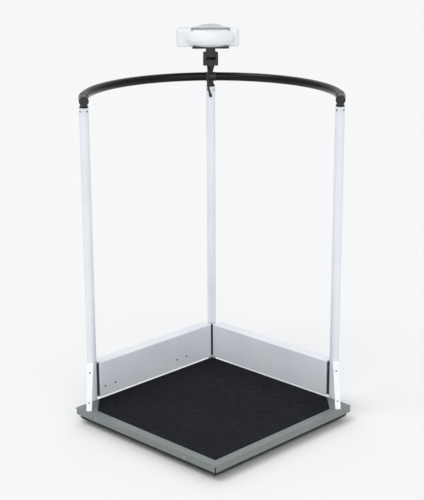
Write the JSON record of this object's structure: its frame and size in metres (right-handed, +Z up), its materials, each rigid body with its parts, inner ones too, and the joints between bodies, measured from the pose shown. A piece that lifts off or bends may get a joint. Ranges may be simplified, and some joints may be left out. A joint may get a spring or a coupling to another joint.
{
  "type": "handrail platform weighing scale",
  "caption": "Electronic stand-on scale: square mat-topped deck, low side panels, upright posts, half-round black handrail, and a swivelling, tilting indicator.",
  "frame": {"origin": "on the floor under the centre of the square deck", "axes": "+Z is up. X and Y run along the deck's sides. The open corner that a person steps over is at +X -Y, and the indicator stands over the opposite corner at -X +Y."},
  "size_m": [0.7562, 0.7582, 1.1855],
  "materials": {
    "deck_steel": "brushed stainless sheet, dull silver, grain along the sides",
    "mat_rubber": "matt black moulded rubber with a fine pebbled tread",
    "frame_black": "black powder coat, satin",
    "cell_aluminium": "machined aluminium",
    "zinc_steel": "zinc-plated steel fasteners",
    "dark_screws": "blackened steel screws",
    "foot_rubber": "black rubber foot pad",
    "white_powder": "white powder coat, satin, light orange peel",
    "brace_white": "white powder coat, satin",
    "spacer_black": "black moulded nylon",
    "fitting_black": "black moulded plastic, satin with a fine grain",
    "rail_black": "gloss black plastic-coated tube",
    "mount_black": "black glass-filled nylon, satin",
    "knob_black": "black moulded hand knob",
    "lead_black": "black PVC cable jacket",
    "grommet_rubber": "black rubber boot",
    "case_white": "pale grey-white ABS, satin with a fine spark texture",
    "window_black": "dark smoked acrylic display window",
    "display_grey": "grey-green liquid-crystal module",
    "board_green": "green circuit board",
    "key_grey": "pale blue-grey rubber key",
    "battery_wrap": "blue shrink-wrapped battery pack"
  },
  "bodies": {
    "root": {"deck_cover": "deck_steel", "deck_mat": "mat_rubber", "weigh_frame": "frame_black", "skirt_screws": "zinc_steel", "load_cell_screws": "zinc_steel", "load_cells": "cell_aluminium", "junction_box": "mount_black", "junction_box_lid": "mount_black", "summing_board": "board_green", "left_panel": "white_powder", "right_panel": "white_powder", "panel_screws": "dark_screws", "panel_brackets": "zinc_steel", "panel_end_spacers": "spacer_black", "panel_corner_spacer": "spacer_black", "left_knee_brace": "brace_white", "right_knee_brace": "brace_white", "brace_screws": "zinc_steel", "left_post": "white_powder", "right_post": "white_powder", "back_post": "white_powder", "left_post_foot": "frame_black", "right_post_foot": "frame_black", "back_post_foot": "frame_black", "left_rail_fitting": "fitting_black", "right_rail_fitting": "fitting_black", "back_rail_fitting": "fitting_black", "fitting_screws": "dark_screws", "handrail": "rail_black", "rail_end_caps": "fitting_black", "mount_stem": "mount_black", "lead": "lead_black", "lead_gland": "grommet_rubber", "lead_grommet": "grommet_rubber"},
    "swivel": {"swivel_yoke": "mount_black", "tilt_bolt": "zinc_steel", "tilt_nut": "zinc_steel"},
    "lock_knob": {"swivel_lock_knob": "knob_black"},
    "indicator": {"tilt_knuckle": "mount_black", "mounting_plate": "frame_black", "plate_screws": "zinc_steel", "case_lower": "case_white", "case_upper": "case_white", "battery_pack": "battery_wrap", "display_window": "window_black", "display_panel": "display_grey", "circuit_board": "board_green"},
    "battery_flap": {"battery_door": "case_white"},
    "key_1": {"key_1": "key_grey"},
    "key_2": {"key_2": "key_grey"},
    "key_3": {"key_3": "key_grey"},
    "key_4": {"key_4": "key_grey"},
    "foot_left": {"foot_stud_left": "zinc_steel", "foot_pad_left": "foot_rubber"},
    "foot_front": {"foot_stud_front": "zinc_steel", "foot_pad_front": "foot_rubber"},
    "foot_right": {"foot_stud_right": "zinc_steel", "foot_pad_right": "foot_rubber"},
    "foot_back": {"foot_stud_back": "zinc_steel", "foot_pad_back": "foot_rubber"}
  },
  "joints": [
    {"name": "swivel_turn", "type": "hinge", "parent": "root", "child": "swivel", "pos_m": [-0.325, 0.325, 1.06], "axis": [0, 0, 1], "range_deg": [-90, 90]},
    {"name": "indicator_tilt", "type": "hinge", "parent": "swivel", "child": "indicator", "pos_m": [-0.325, 0.325, 1.0855], "axis": [0.7071, 0.7071, 0], "range_deg": [-10, 40]},
    {"name": "lock_knob_turn", "type": "hinge", "parent": "swivel", "child": "lock_knob", "pos_m": [-0.33914, 0.33914, 1.063], "axis": [-0.7071, 0.7071, 0], "range_deg": [0, 270]},
    {"name": "battery_flap_open", "type": "hinge", "parent": "indicator", "child": "battery_flap", "pos_m": [-0.36654, 0.36654, 1.1205], "axis": [-0.7071, -0.7071, 0], "range_deg": [0, 100]},
    {"name": "key_1_press", "type": "slide", "parent": "indicator", "child": "key_1", "axis": [-0.0616, 0.0616, -0.9962], "range_m": [0, 0.001], "stiffness_N_per_m": 400},
    {"name": "key_2_press", "type": "slide", "parent": "indicator", "child": "key_2", "axis": [-0.0616, 0.0616, -0.9962], "range_m": [0, 0.001], "stiffness_N_per_m": 400},
    {"name": "key_3_press", "type": "slide", "parent": "indicator", "child": "key_3", "axis": [-0.0616, 0.0616, -0.9962], "range_m": [0, 0.001], "stiffness_N_per_m": 400},
    {"name": "key_4_press", "type": "slide", "parent": "indicator", "child": "key_4", "axis": [-0.0616, 0.0616, -0.9962], "range_m": [0, 0.001], "stiffness_N_per_m": 400},
    {"name": "foot_left_height", "type": "slide", "parent": "root", "child": "foot_left", "axis": [0, 0, 1], "range_m": [0, 0.005]},
    {"name": "foot_front_height", "type": "slide", "parent": "root", "child": "foot_front", "axis": [0, 0, 1], "range_m": [0, 0.005]},
    {"name": "foot_right_height", "type": "slide", "parent": "root", "child": "foot_right", "axis": [0, 0, 1], "range_m": [0, 0.005]},
    {"name": "foot_back_height", "type": "slide", "parent": "root", "child": "foot_back", "axis": [0, 0, 1], "range_m": [0, 0.005]}
  ]
}
